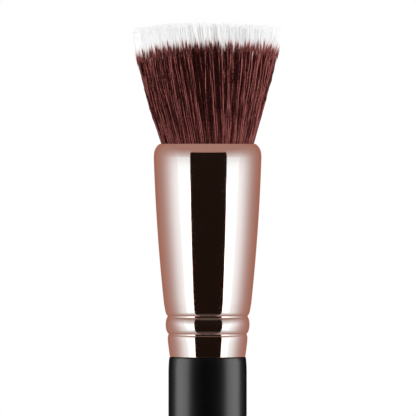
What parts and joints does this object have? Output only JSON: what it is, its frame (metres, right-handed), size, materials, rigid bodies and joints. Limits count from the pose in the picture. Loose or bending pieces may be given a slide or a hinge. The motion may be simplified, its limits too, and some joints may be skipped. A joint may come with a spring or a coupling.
{
  "type": "foundation brush",
  "caption": "Flat-top makeup brush with a dense flared tuft, a polished tapered ferrule with two rolled grooves, and a slim turned handle.",
  "frame": {"origin": "centre of the flat end of the handle", "axes": "+Z along the brush's axis from the handle's end to the bristles, +X to the right and +Y away from the viewer in the picture"},
  "size_m": [0.036, 0.0356, 0.1761],
  "materials": {
    "handle_lacquer": "turned wood under black satin lacquer",
    "ferrule_metal": "polished rose-gold anodised aluminium",
    "adhesive": "cured wood adhesive",
    "resin": "cured amber epoxy",
    "thread": "waxed cotton thread",
    "filament": "fine red-brown synthetic filament with white tips"
  },
  "bodies": {
    "root": {"handle": "handle_lacquer", "ferrule": "ferrule_metal", "tenon_glue": "adhesive", "root_plug": "resin", "binding_thread": "thread", "tuft_core": "filament", "tuft_wedge_1": "filament", "tuft_wedge_2": "filament", "tuft_wedge_3": "filament", "tuft_wedge_4": "filament", "tuft_wedge_5": "filament", "tuft_wedge_6": "filament"}
  },
  "joints": []
}
